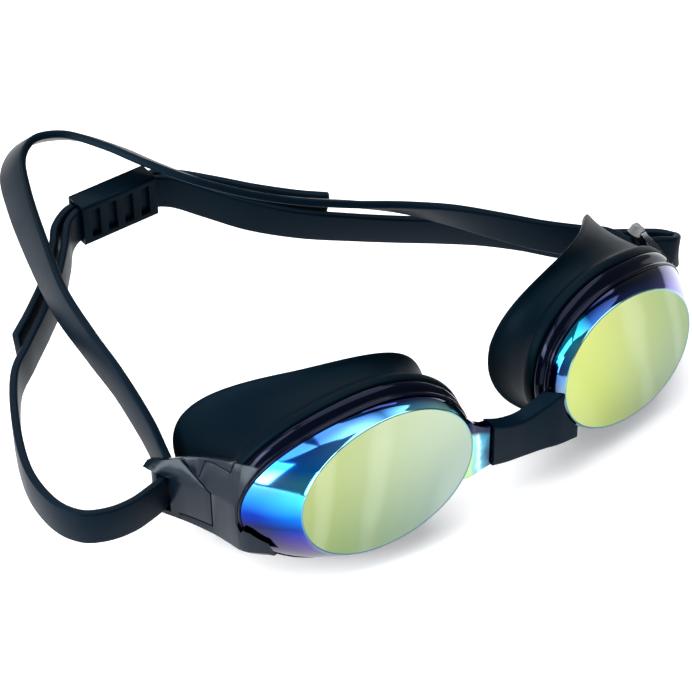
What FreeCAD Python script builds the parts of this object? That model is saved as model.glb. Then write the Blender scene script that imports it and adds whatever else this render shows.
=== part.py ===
import FreeCAD, Part
import math
import os
from FreeCAD import Vector

# Swim goggles, in millimetres. +Z is up, -Y is the way the wearer looks, +X is the wearer's left.
# The origin is midway between the two lens centres, in the plane of their front faces.
# Everything is drawn for the wearer's right eye, on the -X side, and mirrored for the left.

# ---- eyes ----
eye_spacing = 66.0      # lens centre to lens centre
wrap = 7.7              # degrees that each lens turns back towards the temple
lean = 5.3              # degrees that the top of each lens leans back
droop = 12.3            # degrees that the temple end of each lens drops

# ---- lens: a clear-cut oval face, a sloping side wall and a spigot that enters the frame ----
face_half_length = 20.9
face_half_height = 16.3
face_shift = 0.3        # face centre, towards the temple
lens_wall = 1.5
side_half_length = 26.1
side_half_height = 17.7
side_shift = 4.3
side_depth = 4.1        # how far back the side wall reaches over the pupil
side_sweep = 0.0062     # extra depth towards the temple, per mm squared
spigot_step = 1.0
spigot_depth = 2.2

# ---- frame: the dark rim round the lens, with a temple lug ----
rim_proud = 0.5         # how far the rim stands outside the lens side wall
rim_groove = 0.5
rim_depth = 4.2
rim_height_gain = 1.6
rim_wall = 3.0
seat_clearance = 0.05   # lens spigot to frame, all round

# ---- gasket: the soft seal that meets the face ----
gasket_wall = 2.6
bead_depth = 2.0
bead_proud = 0.9
groove_depth = 3.7
seal_half_length = 27.6
seal_shift = 6.0
seal_half_height_top = 22.0
seal_half_height_bottom = 17.6
seal_drop = -1.5
seal_taper = -0.12
seal_depth = 14.6
seal_sweep = 0.0172

gasket_clearance = 0.45  # gasket to the buckle and release tab, which move beside it

# ---- nose bridge ----
arm_length = 5.2        # from the right lens's side to where its nose arm enters the sleeve
tongue_length = 4.5     # of the right arm, inside the sleeve
arm_gap = 3.1           # between the two arms inside the sleeve
sleeve_lap = 5.3        # how far the sleeve reaches over the left lens's side before it is trimmed
sleeve_wall = 1.0
sleeve_clearance = 0.3  # sleeve to the left arm and lens, which flex against it
# Sections as: distance back from the arm's end, then front, back, top and bottom.
right_arm = [(11.5, -0.9, 1.2, 7.6, -8.5), (7.5, -2.0, 1.0, 7.6, -8.9), (5.0, -1.7, 1.1, 5.2, -9.3),
             (2.5, -1.3, 1.3, 3.1, -9.4), (0.0, -1.0, 1.6, 1.9, -9.5)]
# Sections as: share of the sleeve's length, then front, back, top and bottom.
sleeve_line = [(0.0, -1.7, 2.3, 2.0, -9.6), (0.18, -1.6, 2.4, 0.0, -10.8), (0.4, -1.5, 2.5, -1.1, -11.8),
               (0.62, -1.9, 2.3, 0.2, -12.3), (0.8, -2.7, 1.9, 2.2, -12.5), (1.0, -3.2, 1.6, 3.6, -12.4)]

# ---- temple block: the lug on the frame and the buckle that swivels on it ----
# Each section is: how far behind the lens's temple point, the outer face, inner face and ridge across
# from that point, the bottom from the strap's lower edge, and the brow and ridge from its upper edge.
temple_block = [(-4.8, 3.0, 6.4, 6.0, -2.8, 0.4, 9.0), (-0.6, -0.6, 5.1, 4.7, -3.2, 1.6, 11.1),
                (3.0, -1.4, 4.1, 3.3, -3.5, 1.4, 10.2), (8.0, -2.5, 1.7, 1.2, -3.6, 0.9, 9.1),
                (14.0, -5.1, 0.5, -1.3, -3.2, 0.0, 6.9), (20.0, -8.3, -3.5, -5.1, -2.9, -0.8, 3.9),
                (24.4, -10.3, -5.5, -7.1, -2.7, -0.9, 1.8)]
rim_trench = 0.7        # groove between the lens side wall and the lug, where the rim shows
edge_break = 1.3
seam_back = 8.0         # the upright seam between lug and buckle
seam_gap = 0.35
seam_brow = 0.95        # where the upright seam turns into the slanting one
lobe_end = (19.0, 6.35)  # where the slanting seam ends, behind and above
lobe_gap = 0.45
ear_top = -0.15
ear_end = 15
ear_gap = 0.9           # lets the buckle swing outwards
pin_offset = (-0.2, 10.3)
pin_radius = 0.6
pin_clearance = 0.05
pin_bottom = -1.55
pin_top = 5.25
tab_thickness = 1.5
tab_gap = 0.15
tab_outline = [(20, 6.8), (20, 15.7), (5.2, 15.7), (5, 7.5), (9.2, 7.7), (11.7, 7.2), (11.8, 3.1)]
press_travel = 0.8
swivel_in = 4.0         # degrees that the buckle can turn towards the head

# ---- strap ----
strap_width = 8.7
strap_level = -8.0      # height of the strap in the buckle slot
strap_thickness = 1.9
bar_radius = 1.5
bar_offset = (-6.7, 22.4)
bar_play = 0.25         # strap to bar
slot_play = 0.7         # room each side of the strap in the slot
slot_clearance = 0.4    # slot to the strap's edges
# The band runs from the clip round the right side, over the back and round the left side to the clip.
# Each free point is x, y, z and how far the top edge leans towards the inside of the turn, in degrees.
# The heights of the two upper runs are taken from the strap's upper edge at the buckle.
free_runs = {
    "strap_lower_right": [
        (-44.9, 109.0, 3.0, 0), (-49.2, 103.4, 2.0, 0), (-55.6, 96.4, 0.2, 0), (-63.4, 90.0, -1.6, 0),
        (-70.8, 84.4, -3.0, 0), (-78.2, 78.2, -4.2, 0), (-85.4, 65.8, -5.9, 0), (-90.4, 52.5, -7.1, 0),
        (-91.0, 41.8, -7.8, 0)],
    "strap_upper_right": [
        (-63.9, 46.8, 2.25, 0), (-64.0, 56.4, 7.65, 0), (-64.2, 67.6, 11.45, 4), (-62.9, 82.0, 13.95, 12),
        (-58.8, 98.2, 16.25, 24), (-53.2, 115.4, 17.65, 34), (-47.6, 127.4, 18.25, 42),
        (-40.0, 132.4, 18.85, 48)],
    "strap_upper_left": [
        (-31.6, 129.0, 18.85, 50), (-25.6, 119.4, 18.25, 50), (-20.9, 109.2, 17.15, 50),
        (-14.4, 99.6, 14.95, 50), (-5.2, 91.4, 11.85, 52), (4.6, 84.9, 9.25, 54), (15.0, 79.0, 7.25, 54),
        (24.8, 72.4, 5.85, 44), (34.0, 65.0, 3.85, 26), (42.4, 57.6, 1.25, 12), (50.0, 51.2, -1.15, 4),
        (57.2, 46.0, -2.95, 0)],
    "strap_lower_left": [
        (65.0, 48.2, -13.0, 0), (59.0, 53.7, -13.0, 0), (52.4, 60.2, -12.0, -6), (44.6, 66.3, -10.7, -10),
        (36.0, 71.4, -9.3, -12), (26.8, 76.6, -7.9, -12), (17.0, 82.6, -6.4, -10), (6.9, 88.9, -4.5, -6),
        (-2.4, 96.4, -2.1, 0), (-9.6, 104.0, 0.5, 0), (-14.6, 109.2, 3.0, 0)],
}
free_tails = {
    "strap_tail_right": [
        (-6.8, 102.6, 1.8, 0), (0.6, 95.8, 0.2, 3), (8.2, 90.1, -1.4, 6), (14.2, 86.2, -2.4, 8)],
    "strap_tail_left": [
        (-50.9, 103.6, 1.8, 0), (-57.2, 96.8, 0.2, 0), (-65.2, 90.4, -1.5, 0), (-71.4, 86.0, -2.5, 0)],
}
# At a buckle, each point is how far outboard of the bar, behind it and above the strap's level there.
outside_right = [(20.6, -1.2, 0.0), (15.8, -4.2, 0.0), (10.2, -5.0, 0.0), (4.7, -4.1, 0.0)]
outside_left = [(3.2, 6.5, -4.4), (8.1, 1.4, -3.6), (9.2, -3.2, -2.6), (6.8, -5.0, -1.4), (3.4, -4.1, -0.4)]
inside_right = [(-3.6, 4.8, 2.6)]
inside_left = [(-3.6, 3.2, 0.1), (-5.6, 6.2, 0.6)]
round_bar = [(-0.04, -1.0), (-0.74, -0.7), (-1.11, 0.07)]  # in bend radii of the strap's middle
# At the clip, each point is how far beyond its end, behind it and above it.
strand_lead = [(0.75, -0.2, -0.1)]
tail_lead = [(2.15, -0.3, -0.2), (7.0, -3.2, -0.9)]
layer_gap = 0.3         # between the two layers of strap in the clip
end_gap = 0.2           # from the clip's middle to each strap end
sections_per_span = 2

# ---- rear clip ----
clip_at = (-30.0, 111.5, 3.7)  # middle of its inner layer of strap
clip_length = 20.5
clip_wall = 0.9
clip_clearance = 0.3
clip_window = 2.5
clip_windows = 4

points_per_loop = 28
tiny = 0.4
far = 60.0


def right_axes():
    """Directions of the right lens: along it to the temple, up it, and out of its front."""
    w, p, s = math.radians(wrap), math.radians(lean), math.radians(droop)
    level = Vector(-math.cos(w), math.sin(w), 0)
    flat_front = Vector(-math.sin(w), -math.cos(w), 0)
    up = Vector(0, 0, math.cos(p)) - flat_front * math.sin(p)
    front = flat_front * math.cos(p) + Vector(0, 0, math.sin(p))
    along = level * math.cos(s) - up * math.sin(s)
    upward = up * math.cos(s) + level * math.sin(s)
    return along, upward, front


along_axis, up_axis, front_axis = right_axes()
lens_centre = Vector(-eye_spacing / 2, 0, 0)
nose_side = side_half_length - side_shift
arm_end = lens_centre.x + nose_side + arm_length
sleeve_end = -lens_centre.x - nose_side + sleeve_lap


def in_lens(u, v, depth):
    """u runs to the temple, v up, and depth back from the face."""
    return lens_centre + along_axis * u + up_axis * v - front_axis * depth


def side_reach(u, v):
    return side_depth + 0.03 * u + side_sweep * max(u, 0.0) ** 2


temple_u = side_shift + side_half_length
temple = in_lens(temple_u, 0.0, side_reach(temple_u, 0.0))
strap_low = strap_level - strap_width / 2
strap_high = strap_level + strap_width / 2
pin_at = (temple.x + pin_offset[0], temple.y + pin_offset[1])
bar_at = (temple.x + bar_offset[0], temple.y + bar_offset[1])
bend = bar_radius + strap_thickness / 2 + bar_play
slot_front = bar_at[1] - bar_radius - strap_thickness - 2 * slot_play


def behind_side(extra):
    return lambda u, v: side_reach(u, v) + extra


def level_depth(depth):
    return lambda u, v: depth


def seal_reach(u, v):
    above = max(v, 0.0)
    return seal_depth + 0.02 * u + seal_sweep * u * u + 0.26 * above + 0.019 * u * above


def oval(shift, half_length, top, bottom, reach, power=2.1, drop=0.0, taper=0.0, side=(1, 1)):
    """A closed curve round the eye: a superellipse whose depth follows reach."""
    points = []
    for i in range(points_per_loop):
        a = 2 * math.pi * i / points_per_loop
        c, s = math.cos(a), math.sin(a)
        u = shift + half_length * math.copysign(abs(c) ** (2 / power), c)
        height = top if s > 0 else bottom
        v = drop + height * math.copysign(abs(s) ** (2 / power), s) * (1 + taper * c)
        points.append((u, v, reach(u, v)))
    return points


def blend(first, second, share, inset=0.0):
    """A loop part of the way from one loop to another, drawn in by inset."""
    mixed = [tuple(p + (q - p) * share for p, q in zip(one, two)) for one, two in zip(first, second)]
    return shrink(mixed, inset)


def shrink(loop, inset, deeper=0.0):
    mid_u = sum(p[0] for p in loop) / len(loop)
    mid_v = sum(p[1] for p in loop) / len(loop)
    half_u = max(abs(p[0] - mid_u) for p in loop)
    half_v = max(abs(p[1] - mid_v) for p in loop)
    scale_u, scale_v = 1 - inset / half_u, 1 - inset / half_v
    return [(mid_u + (p[0] - mid_u) * scale_u, mid_v + (p[1] - mid_v) * scale_v, p[2] + deeper) for p in loop]


def closed_edge(loop):
    curve = Part.BSplineCurve()
    curve.interpolate(Points=[in_lens(*p) for p in loop], PeriodicFlag=True)
    return curve.toShape()


def solid_from(faces):
    shell = Part.makeShell(faces)
    shell.sewShape()
    solid = Part.makeSolid(shell)
    if solid.Volume < 0:
        solid.reverse()
    return solid


def ring_solid(loops):
    """A closed band: each loop is ruled to the next, and the last to the first."""
    edges = [closed_edge(loop) for loop in loops]
    return solid_from([Part.makeRuledSurface(a, b) for a, b in zip(edges, edges[1:] + edges[:1])])


def filled(loops):
    """A solid plug through the loops. Its ends close on small flat ovals."""
    front, back = loops[0], loops[-1]
    caps = []
    for loop in (front, back):
        half = max(abs(p[0] - loop[0][0]) for p in loop) / 2
        middle = sum(p[2] for p in loop) / len(loop)
        mid_u = sum(p[0] for p in loop) / len(loop)
        mid_v = sum(p[1] for p in loop) / len(loop)
        share = tiny / half
        caps.append([(mid_u + (p[0] - mid_u) * share, mid_v + (p[1] - mid_v) * share, middle) for p in loop])
    edges = [closed_edge(loop) for loop in [caps[0]] + loops + [caps[1]]]
    faces = [Part.makeRuledSurface(a, b) for a, b in zip(edges, edges[1:])]
    faces += [Part.Face(Part.Wire([edges[0]])), Part.Face(Part.Wire([edges[-1]]))]
    return solid_from(faces)


def cup_solid(outer, inner):
    """An open cup: the outer loops run back from the face, the inner ones return to it."""
    edges = [closed_edge(loop) for loop in outer + inner]
    faces = [Part.makeRuledSurface(a, b) for a, b in zip(edges, edges[1:])]
    faces += [Part.Face(Part.Wire([edges[0]])), Part.Face(Part.Wire([edges[-1]]))]
    return solid_from(faces)


def station_loft(stations, grow=0.0):
    """A bar along X through box sections of front, back, top and bottom."""
    wires = []
    for x, front, back, top, bottom in stations:
        y0, y1, z0, z1 = front - grow, back + grow, bottom - grow, top + grow
        corners = [Vector(x, y0, z0), Vector(x, y1, z0), Vector(x, y1, z1), Vector(x, y0, z1)]
        wires.append(Part.makePolygon(corners + corners[:1]))
    return Part.makeLoft(wires, True, True)


def mirrored(shape):
    return shape.mirror(Vector(0, 0, 0), Vector(1, 0, 0))


def moved(shape, by):
    copy = shape.copy()
    copy.translate(by)
    return copy


def turned(shape, x, y, degrees):
    copy = shape.copy()
    copy.rotate(Vector(x, y, 0), Vector(0, 0, 1), degrees)
    return copy


# ---------------------------------------------------------------- loops round the right eye
face_loop = oval(face_shift, face_half_length, face_half_height, face_half_height, level_depth(0.0), 2.06)
side_loop = oval(side_shift, side_half_length, side_half_height, side_half_height, behind_side(0.0))
spigot_front = shrink(side_loop, spigot_step, 0.1)
spigot_back = shrink(side_loop, spigot_step, spigot_depth)
inner_face = shrink(face_loop, lens_wall, lens_wall)
inner_side = shrink(side_loop, lens_wall + 0.6, 0.0)
inner_back = shrink(side_loop, lens_wall + spigot_step, spigot_depth)

rim_front = shrink(side_loop, -rim_proud * 0.5, 0.15)
rim_lip = shrink(side_loop, -rim_proud, 1.3)
rim_channel = shrink(side_loop, -rim_proud + rim_groove, 1.9)
rim_shoulder = oval(side_shift, side_half_length + rim_proud + 0.3, side_half_height + rim_height_gain,
                    side_half_height + rim_height_gain, behind_side(2.7))
rim_back = oval(side_shift, side_half_length + rim_proud + 0.4, side_half_height + rim_height_gain + 0.4,
                side_half_height + rim_height_gain + 0.4, behind_side(rim_depth))
seat_front = shrink(spigot_front, -seat_clearance, 0.05)
seat_back = shrink(spigot_back, -seat_clearance, seat_clearance)
seat_stop = shrink(spigot_back, lens_wall, seat_clearance)
channel_back = shrink(rim_back, rim_wall)

bead = shrink(rim_back, -bead_proud + 0.4, bead_depth)
groove = shrink(rim_back, 0.8, groove_depth)
seal_edge = oval(seal_shift, seal_half_length, seal_half_height_top, seal_half_height_bottom, seal_reach,
                 2.3, seal_drop, seal_taper)
waist = blend(groove, seal_edge, 0.5, 1.0)
seal_inner = shrink(seal_edge, gasket_wall, 0.2)
waist_inner = shrink(waist, gasket_wall)
groove_inner = shrink(groove, gasket_wall)
gasket_mouth = shrink(rim_back, rim_wall)

lens_plug = filled([face_loop, side_loop, spigot_front, spigot_back])
trench_plug = filled([shrink(face_loop, -rim_trench), shrink(side_loop, -rim_trench),
                      shrink(side_loop, -rim_trench, 1.0)])
gasket_plug = filled([rim_back, bead, groove, waist, seal_edge])
gasket_room = filled([shrink(loop, -gasket_clearance) for loop in (rim_back, bead, groove, waist, seal_edge)])
rim_plug = filled([seat_front, seat_back, seat_stop, channel_back])
sleeve_room = filled([shrink(loop, -sleeve_clearance, deeper) for loop, deeper in (
    (face_loop, -4.0), (face_loop, 0.0), (side_loop, 0.0), (rim_lip, 0.0), (rim_shoulder, 0.0),
    (rim_back, 9.0))])


# ---------------------------------------------------------------- lenses and nose bridge
def lens(arm):
    outer = [face_loop, side_loop, spigot_front, spigot_back]
    inner = [inner_back, inner_side, inner_face]
    return cup_solid(outer, inner).fuse(arm.cut(lens_plug)).removeSplitter()


def narrowed(station, by):
    x, front, back, top, bottom = station
    return (x, front + by, back - by, top - by, bottom + by)


def section_at(line, x):
    for one, two in zip(line, line[1:]):
        if one[0] <= x <= two[0]:
            share = (x - one[0]) / (two[0] - one[0])
            return tuple(a + (b - a) * share for a, b in zip(one, two))
    raise ValueError("x lies outside the line")


sleeve = [(arm_end + station[0] * (sleeve_end - arm_end),) + station[1:] for station in sleeve_line]
tongue_end = arm_end + tongue_length
left_arm_end = tongue_end + arm_gap
tongue_xs = (arm_end, (arm_end + tongue_end) / 2, tongue_end)
left_arm_xs = [left_arm_end] + [station[0] for station in sleeve if station[0] > left_arm_end + 1.0]
tongue = station_loft([narrowed(section_at(sleeve, x), sleeve_wall) for x in tongue_xs])
left_arm_line = [narrowed(section_at(sleeve, x), sleeve_wall + sleeve_clearance) for x in left_arm_xs]
left_arm_line.append((left_arm_line[-1][0] + 2.0,) + left_arm_line[-1][1:])
pocket_line = [(left_arm_end - sleeve_clearance,) + left_arm_line[0][1:]] + left_arm_line

arm_right = station_loft([(arm_end - station[0],) + station[1:] for station in right_arm]).fuse(tongue)
arm_left = station_loft(left_arm_line)
lens_right = lens(arm_right)
lens_left = mirrored(lens(mirrored(arm_left)))

nose_bridge = station_loft(sleeve).cut(tongue)
nose_bridge = nose_bridge.cut(station_loft(pocket_line, sleeve_clearance)).cut(mirrored(sleeve_room))
nose_bridge = max(nose_bridge.Solids, key=lambda s: s.Volume)


# ---------------------------------------------------------------- temple block, lug, buckle, tab and pin
def block_wire(station):
    y = temple.y + station[0]
    outer, inner, ridge = (temple.x + across for across in station[1:4])
    bottom = strap_low + station[4]
    brow, peak = (strap_high + above for above in station[5:])
    corners = [Vector(outer + edge_break, y, bottom), Vector(inner, y, bottom), Vector(inner, y, peak - 1.2),
               Vector(ridge, y, peak), Vector(ridge - 0.9, y, peak - 0.3),
               Vector(outer, y, brow), Vector(outer, y, bottom + edge_break)]
    return Part.makePolygon(corners + corners[:1])


def prism(outline, grow=0.0):
    """A slab across X whose section in y and z is the outline."""
    corners = [Vector(-far - 30.0, y, z) for y, z in outline]
    face = Part.Face(Part.makePolygon(corners + corners[:1]))
    if grow:
        face = face.makeOffset2D(grow, join=2)
    return face.extrude(Vector(far, 0, 0))


def upright(x, y, radius, low, high):
    return Part.makeCylinder(radius, high - low, Vector(x, y, low))


block = Part.makeLoft([block_wire(s) for s in temple_block], True, True)
seam_y = temple.y + seam_back
ear_y, ear_z = temple.y + ear_end, strap_low + ear_top
brow_z = strap_high + seam_brow
lobe_y, lobe_z = temple.y + lobe_end[0], strap_high + lobe_end[1]
slant = (lobe_z - brow_z) / (lobe_y - seam_y)
under = slant * seam_gap - lobe_gap
lug_zone = prism([(0, -far), (seam_y, -far), (ear_y, -far), (ear_y, ear_z), (seam_y, ear_z), (seam_y, brow_z),
                  (lobe_y, lobe_z), (lobe_y, far), (0, far)])
buckle_zone = prism([(ear_y + ear_gap, -far), (2 * far, -far), (2 * far, far), (lobe_y + seam_gap, far),
                     (lobe_y + seam_gap, lobe_z + under), (seam_y + seam_gap, brow_z + under),
                     (seam_y + seam_gap, ear_z + seam_gap), (ear_y + ear_gap, ear_z + seam_gap)])
tab_places = [(temple.y + back, strap_high + above) for back, above in tab_outline]
tab_zone = prism(tab_places)
pocket_zone = prism(tab_places, tab_gap)

lug = block.common(lug_zone).cut(pocket_zone).cut(gasket_plug).cut(trench_plug).cut(rim_plug)
lug = lug.cut(upright(*pin_at, pin_radius, strap_low + pin_bottom, strap_high + pin_top))
rim = ring_solid([rim_front, rim_lip, rim_channel, rim_shoulder, rim_back, channel_back, seat_stop, seat_back,
                  seat_front])
frame = rim.fuse([s for s in lug.Solids if s.Volume > 2.0]).removeSplitter()
frame_right = frame.cut(arm_right)
frame_left = mirrored(frame).cut(arm_left)

press = Vector(1, 0, 0)
tab = block.common(tab_zone).common(lug_zone).cut(moved(block, press * tab_thickness))
for pressed in (0.0, press_travel / 2, press_travel):
    tab = tab.cut(moved(gasket_room, press * -pressed))
release_tab_right = max(tab.Solids, key=lambda s: s.Volume)

slot_low = strap_low - slot_clearance
slot_high = strap_high + slot_clearance
slot = Part.makeBox(30, bar_at[1] - slot_front, slot_high - slot_low,
                    Vector(bar_at[0] - 15, slot_front, slot_low))
bar = upright(*bar_at, bar_radius, slot_low - 1.0, slot_high + 1.0)
behind_bar = Part.makeBox(30, 20, slot_high - slot_low, Vector(bar_at[0] - 15, bar_at[1], slot_low))
buckle = block.common(buckle_zone).cut(slot).cut(behind_bar).fuse(bar)
buckle = buckle.cut(upright(*pin_at, pin_radius + pin_clearance, -far, far))
for turn in (0.0, swivel_in / 2, swivel_in):
    buckle = buckle.cut(turned(gasket_room, *pin_at, turn))
buckle_right = max(buckle.Solids, key=lambda s: s.Volume).removeSplitter()
hinge_pin_right = upright(*pin_at, pin_radius, strap_low + pin_bottom, strap_high + pin_top)

gasket_right = ring_solid([rim_back, bead, groove, waist, seal_edge, seal_inner, waist_inner, groove_inner,
                           gasket_mouth])


# ---------------------------------------------------------------- strap
def band(route, inside, first=0, last=None):
    """A flat band along a smooth line through the route, from its first point to its last."""
    last = len(route) - 1 if last is None else last
    line = Part.BSplineCurve()
    line.interpolate([Vector(*p[:3]) for p in route])
    knots = [line.parameter(Vector(*p[:3])) for p in route]
    wires = []
    for i in range(first * sections_per_span, last * sections_per_span + 1):
        span = min(i // sections_per_span, len(route) - 2)
        share = i / sections_per_span - span
        at = knots[span] + (knots[span + 1] - knots[span]) * share
        tilt = route[span][3] + (route[span + 1][3] - route[span][3]) * share
        wires.append(band_section(line.value(at), line.tangent(at)[0], math.radians(tilt), inside))
    return Part.makeLoft(wires, True, True)


def band_section(centre, tangent, tilt, inside):
    side = tangent.cross(Vector(0, 0, inside))
    side.normalize()
    up = Vector(0, 0, 1) * math.cos(tilt) + side * math.sin(tilt)
    up = up - tangent * up.dot(tangent)
    up.normalize()
    across = up.cross(tangent)
    w, t = strap_width / 2, strap_thickness / 2
    corners = [centre + up * (w * a) + across * (t * b) for a, b in ((1, 1), (1, -1), (-1, -1), (-1, 1))]
    return Part.makePolygon(corners + corners[:1])


def at_buckle(side, outside, inside):
    """The points that take the strap through a slot and round its bar, from the outside in."""
    round_points = [(across * bend, back * bend, 0.0) for across, back in round_bar]
    return [(side * (-bar_at[0] + out), bar_at[1] + back, strap_level + up, 0)
            for out, back, up in outside + round_points + inside]


def at_clip(side, lead, layer):
    """The points from the clip's middle out of its end, in a layer that lies behind the first."""
    x, y, z = clip_at
    half = clip_length / 2
    straight = [(x + side * out, y + layer, z, 0) for out in (end_gap, half / 3, half * 2 / 3)]
    return straight + [(x + side * (half + out), y + layer + back, z + up, 0) for out, back, up in lead]


def above_strap(points):
    return [(x, y, strap_high + up, lean) for x, y, up, lean in points]


def strap_bands():
    lower_right, upper_right, upper_left, lower_left = free_runs.values()
    right_turn = at_buckle(-1, outside_right, inside_right)
    left_turn = at_buckle(1, outside_left, inside_left)[::-1]
    route = at_clip(-1, strand_lead, 0.0) + lower_right
    stops = [0, len(route) + len(outside_right)]
    route += right_turn + above_strap(upper_right)
    stops.append(len(route))
    route += above_strap(upper_left) + left_turn
    stops.append(len(route) - len(outside_left) - 1)
    route += lower_left + at_clip(1, strand_lead, 0.0)[::-1]
    stops.append(len(route) - 1)
    return {name: band(route, 1, *ends) for name, ends in zip(free_runs, zip(stops, stops[1:]))}


def strap_tail(side, points):
    layer = strap_thickness + layer_gap
    return band(at_clip(side, tail_lead, layer) + [(x, y + layer, z, lean) for x, y, z, lean in points], side)


# ---------------------------------------------------------------- rear clip
def clip():
    inner_height = strap_width + 2 * clip_clearance
    inner_depth = 2 * strap_thickness + layer_gap + 2 * clip_clearance
    height, depth = inner_height + 2 * clip_wall, inner_depth + 2 * clip_wall
    body = Part.makeBox(clip_length, depth, height, Vector(-clip_length / 2, -depth / 2, -height / 2))
    body = body.makeFillet(0.7, [e for e in body.Edges if abs(e.tangentAt(e.FirstParameter).x) > 0.9])
    body = body.cut(Part.makeBox(clip_length + 2, inner_depth, inner_height,
                                 Vector(-clip_length / 2 - 1, -inner_depth / 2, -inner_height / 2)))
    pitch = clip_length / (clip_windows + 0.5)
    for i in range(clip_windows):
        x = (i - (clip_windows - 1) / 2) * pitch
        body = body.cut(Part.makeBox(clip_window, depth + 2, inner_height - 1.6,
                                     Vector(x - clip_window / 2, -depth / 2 - 1, -inner_height / 2 + 0.8)))
    body.translate(Vector(*clip_at) + Vector(0, (strap_thickness + layer_gap) / 2, 0))
    return body


nodes = {
    "lens_right": lens_right,
    "lens_left": lens_left,
    "frame_right": frame_right,
    "frame_left": frame_left,
    "gasket_right": gasket_right,
    "gasket_left": mirrored(gasket_right),
    "nose_bridge": nose_bridge,
    "buckle_right": buckle_right,
    "buckle_left": mirrored(buckle_right),
    "release_tab_right": release_tab_right,
    "release_tab_left": mirrored(release_tab_right),
    "hinge_pin_right": hinge_pin_right,
    "hinge_pin_left": mirrored(hinge_pin_right),
    **strap_bands(),
    "strap_tail_right": strap_tail(1, free_tails["strap_tail_right"]),
    "strap_tail_left": strap_tail(-1, free_tails["strap_tail_left"]),
    "rear_clip": clip(),
}

os.makedirs("parts", exist_ok=True)
for name, shape in nodes.items():
    shape.exportStep("parts/" + name + ".step")
    state = "valid" if shape.isValid() else "NOT VALID"
    print(name, state, len(shape.Solids), "solids, mm3", round(shape.Volume, 1))
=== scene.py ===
import math
import bmesh
import bpy
from mathutils import Matrix, Vector


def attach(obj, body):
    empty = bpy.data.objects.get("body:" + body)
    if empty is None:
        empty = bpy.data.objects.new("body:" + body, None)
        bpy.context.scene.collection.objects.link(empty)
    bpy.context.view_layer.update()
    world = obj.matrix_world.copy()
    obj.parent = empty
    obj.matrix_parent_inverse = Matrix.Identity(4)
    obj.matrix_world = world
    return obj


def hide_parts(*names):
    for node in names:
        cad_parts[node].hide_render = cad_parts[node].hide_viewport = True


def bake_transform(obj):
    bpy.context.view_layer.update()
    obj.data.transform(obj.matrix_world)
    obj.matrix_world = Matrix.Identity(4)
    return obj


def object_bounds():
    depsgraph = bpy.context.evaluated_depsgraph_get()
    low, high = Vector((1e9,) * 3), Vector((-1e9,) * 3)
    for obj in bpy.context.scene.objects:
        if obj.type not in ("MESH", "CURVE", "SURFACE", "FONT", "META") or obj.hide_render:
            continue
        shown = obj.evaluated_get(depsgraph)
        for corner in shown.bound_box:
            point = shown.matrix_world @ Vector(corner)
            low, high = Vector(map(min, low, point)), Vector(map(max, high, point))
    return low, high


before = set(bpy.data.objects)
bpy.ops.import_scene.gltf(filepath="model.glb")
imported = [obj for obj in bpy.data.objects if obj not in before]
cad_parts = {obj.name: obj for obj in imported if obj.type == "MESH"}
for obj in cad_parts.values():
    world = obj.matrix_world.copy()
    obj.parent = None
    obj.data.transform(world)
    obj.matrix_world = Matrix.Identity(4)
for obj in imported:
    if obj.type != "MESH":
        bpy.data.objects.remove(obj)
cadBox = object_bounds()
print("frame loaded")

mm = 0.001
scene = bpy.context.scene


# small mesh tools

def clearSelection():
    if bpy.context.object and bpy.context.object.mode == "EDIT":
        bpy.ops.object.mode_set(mode="OBJECT")
    bpy.ops.object.select_all(action="DESELECT")


def activate(piece):
    clearSelection()
    piece.select_set(True)
    bpy.context.view_layer.objects.active = piece


# rings is a list of loops of the same number of points, in mm
def loft(name, rings, closed=False, slotOfRow=None):
    clearSelection()
    count = len(rings[0])
    bpy.ops.mesh.primitive_circle_add(vertices=count, radius=0.01, fill_type="NOTHING")
    piece = bpy.context.object
    piece.name = name
    piece.data.name = name
    bpy.ops.object.mode_set(mode="EDIT")
    mesh = bmesh.from_edit_mesh(piece.data)
    place = mesh.verts.layers.int.new("place")
    row = mesh.verts.layers.int.new("row")
    for i, v in enumerate(mesh.verts):
        v[place] = i
        v[row] = 0
        v.co = Vector(rings[0][i]) * mm
    bmesh.update_edit_mesh(piece.data)
    for number, ring in enumerate(rings[1:], 1):
        bpy.ops.mesh.extrude_region_move()
        mesh = bmesh.from_edit_mesh(piece.data)
        place = mesh.verts.layers.int["place"]
        row = mesh.verts.layers.int["row"]
        for v in mesh.verts:
            if v.select:
                v[row] = number
                v.co = Vector(ring[v[place]]) * mm
        bmesh.update_edit_mesh(piece.data)
    last = len(rings) - 1
    if closed:
        pickRows(piece, (0, last))
        bpy.ops.mesh.bridge_edge_loops()
    else:
        for end in (0, last):
            pickRows(piece, (end,))
            bpy.ops.mesh.edge_face_add()
    bpy.ops.mesh.select_all(action="SELECT")
    bpy.ops.mesh.normals_make_consistent(inside=False)
    markAround(piece, count, last)
    if slotOfRow:
        mesh = bmesh.from_edit_mesh(piece.data)
        row = mesh.verts.layers.int["row"]
        for f in mesh.faces:
            f.material_index = slotOfRow(min(v[row] for v in f.verts))
        bmesh.update_edit_mesh(piece.data)
    bpy.ops.object.mode_set(mode="OBJECT")
    activate(piece)
    bpy.ops.object.transform_apply(location=True, rotation=True, scale=True)
    return piece


def pickRows(piece, rows):
    bpy.ops.mesh.select_all(action="DESELECT")
    mesh = bmesh.from_edit_mesh(piece.data)
    row = mesh.verts.layers.int["row"]
    for e in mesh.edges:
        ends = {v[row] for v in e.verts}
        if len(ends) == 1 and ends <= set(rows):
            e.select_set(True)
    bmesh.update_edit_mesh(piece.data)


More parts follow.
